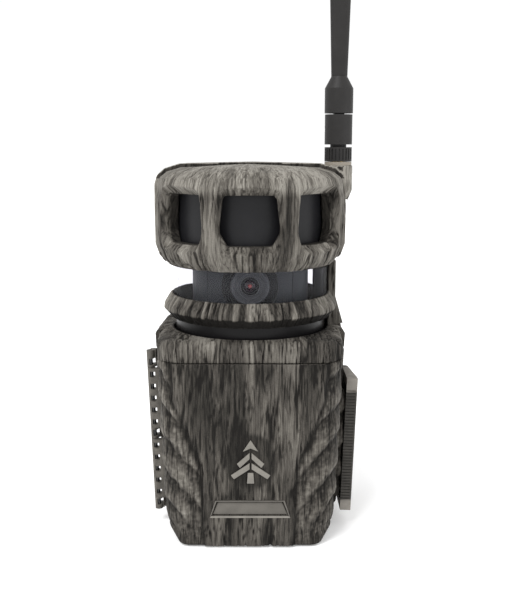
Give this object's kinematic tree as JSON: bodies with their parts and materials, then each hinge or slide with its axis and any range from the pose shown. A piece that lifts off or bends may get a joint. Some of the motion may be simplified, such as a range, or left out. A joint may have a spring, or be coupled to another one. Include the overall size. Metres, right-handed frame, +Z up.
{
  "type": "trail camera",
  "caption": "Weatherproof game camera: hinged lower housing with side latch, clear dome over a turning lens turret, windowed motion-sensing head and a tilting antenna.",
  "frame": {"origin": "mouth of the tripod thread in the bottom, on the turret's axis", "axes": "+Z up along the turret's axis, -Y out of the front door and lens, +X to the side with the latch and antenna"},
  "size_m": [0.1039, 0.102, 0.3],
  "materials": {
    "camo": "moulded bark relief, matt, grey-brown camouflage",
    "plain_trim": "fine moulded texture, grey-brown",
    "inner_plastic": "fine spark texture, near black",
    "antenna_plastic": "satin black",
    "ir_black": "infrared-passing smooth satin black",
    "clear": "clear polycarbonate, polished",
    "smoke": "dark blue-grey, satin",
    "lens": "coated lens glass",
    "seal": "matt silicone rubber",
    "board": "solder-masked circuit board",
    "steel": "bright steel",
    "brass": "machined brass",
    "gear_plastic": "natural acetal",
    "lead": "insulated lead",
    "key_plastic": "satin grey keys",
    "knob": "satin orange",
    "card": "memory card, plain",
    "cell": "plain blue battery sleeve"
  },
  "bodies": {
    "housing": {"rear_housing": "camo", "shoulder_frame": "camo", "spine_cover": "plain_trim", "trim_ring": "camo", "base_deck": "inner_plastic", "inner_chassis": "inner_plastic", "door_gasket": "seal", "hinge_pin": "steel", "latch_pin": "steel", "ir_window": "ir_black", "led_board": "board", "clear_dome": "clear", "dome_seals": "seal", "turret_motor": "steel", "lens_flex": "lead", "head_base": "inner_plastic", "pir_lens": "ir_black", "pir_carrier": "inner_plastic", "pir_sensors": "steel", "pir_board": "board", "front_hood": "camo", "rear_shell": "camo", "antenna_connector": "brass", "antenna_gasket": "plain_trim", "antenna_lead": "lead", "spine_cable": "lead", "control_panel": "inner_plastic", "screen": "lens", "panel_board": "board", "battery_tray": "inner_plastic", "battery_cells": "cell", "contact_springs": "steel", "main_board": "board", "dc_jack": "inner_plastic", "tripod_insert": "brass", "strap_bracket": "plain_trim", "screws": "steel"},
    "door": {"front_door": "camo"},
    "latch": {"latch": "plain_trim"},
    "turret": {"turret_drum": "smoke", "turret_gear": "gear_plastic", "lens_plate": "smoke", "lens_bezel": "smoke", "lens_barrel": "smoke", "lens_glass": "lens", "sensor_board": "board"},
    "pinion": {"motor_pinion": "brass", "motor_shaft": "steel"},
    "antenna_nut": {"antenna_nut": "antenna_plastic"},
    "antenna_base": {"antenna_knuckle": "antenna_plastic", "antenna_pin": "steel"},
    "antenna_whip": {"antenna_whip": "antenna_plastic"},
    "key_up": {"key_up": "key_plastic"},
    "key_down": {"key_down": "key_plastic"},
    "key_left": {"key_left": "key_plastic"},
    "key_right": {"key_right": "key_plastic"},
    "key_ok": {"key_ok": "key_plastic"},
    "power_knob": {"power_knob": "knob"},
    "sd_card": {"sd_card": "card"},
    "port_plug": {"port_plug": "seal"}
  },
  "joints": [
    {"name": "door_hinge", "type": "hinge", "parent": "housing", "child": "door", "pos_m": [-0.04776, -0.012, 0.04787], "axis": [0.0366, 0, -0.9993], "range_deg": [0, 130]},
    {"name": "latch_pivot", "type": "hinge", "parent": "housing", "child": "latch", "pos_m": [0.04734, 0.007, 0.04188], "axis": [0.0366, 0, 0.9993], "range_deg": [0, 90]},
    {"name": "turret_spin", "type": "hinge", "parent": "housing", "child": "turret", "pos_m": [0, 0, 0.11], "axis": [0, 0, 1], "range_deg": [-180, 180]},
    {"name": "pinion_spin", "type": "hinge", "parent": "housing", "child": "pinion", "pos_m": [0, 0.0252, 0.101], "axis": [0, 0, 1], "range_deg": [-900, 900]},
    {"name": "antenna_nut_spin", "type": "hinge", "parent": "housing", "child": "antenna_nut", "pos_m": [0.0438, 0.01, 0.183], "axis": [0, 0, 1], "continuous": true},
    {"name": "antenna_swivel", "type": "hinge", "parent": "housing", "child": "antenna_base", "pos_m": [0.0438, 0.01, 0.19], "axis": [0, 0, 1], "continuous": true},
    {"name": "antenna_tilt", "type": "hinge", "parent": "antenna_base", "child": "antenna_whip", "pos_m": [0.0438, 0.01, 0.1958], "axis": [-1, 0, 0], "range_deg": [0, 90]},
    {"name": "key_up_press", "type": "slide", "parent": "housing", "child": "key_up", "axis": [0, 1, 0], "range_m": [0, 0.0005], "stiffness_N_per_m": 800, "springref_m": -0.0005},
    {"name": "key_down_press", "type": "slide", "parent": "housing", "child": "key_down", "axis": [0, 1, 0], "range_m": [0, 0.0005], "stiffness_N_per_m": 800, "springref_m": -0.0005},
    {"name": "key_left_press", "type": "slide", "parent": "housing", "child": "key_left", "axis": [0, 1, 0], "range_m": [0, 0.0005], "stiffness_N_per_m": 800, "springref_m": -0.0005},
    {"name": "key_right_press", "type": "slide", "parent": "housing", "child": "key_right", "axis": [0, 1, 0], "range_m": [0, 0.0005], "stiffness_N_per_m": 800, "springref_m": -0.0005},
    {"name": "key_ok_press", "type": "slide", "parent": "housing", "child": "key_ok", "axis": [0, 1, 0], "range_m": [0, 0.0005], "stiffness_N_per_m": 800, "springref_m": -0.0005},
    {"name": "power_slide", "type": "slide", "parent": "housing", "child": "power_knob", "axis": [1, 0, 0], "range_m": [0, 0.004]},
    {"name": "card_slide", "type": "slide", "parent": "housing", "child": "sd_card", "axis": [0, -1, 0], "range_m": [0, 0.002]},
    {"name": "port_plug_pull", "type": "slide", "parent": "housing", "child": "port_plug", "axis": [0, 0, -1], "range_m": [0, 0.008]}
  ],
  "couplings": [
    {"joint": "pinion_spin", "follows": "turret_spin", "ratio": -5}
  ]
}
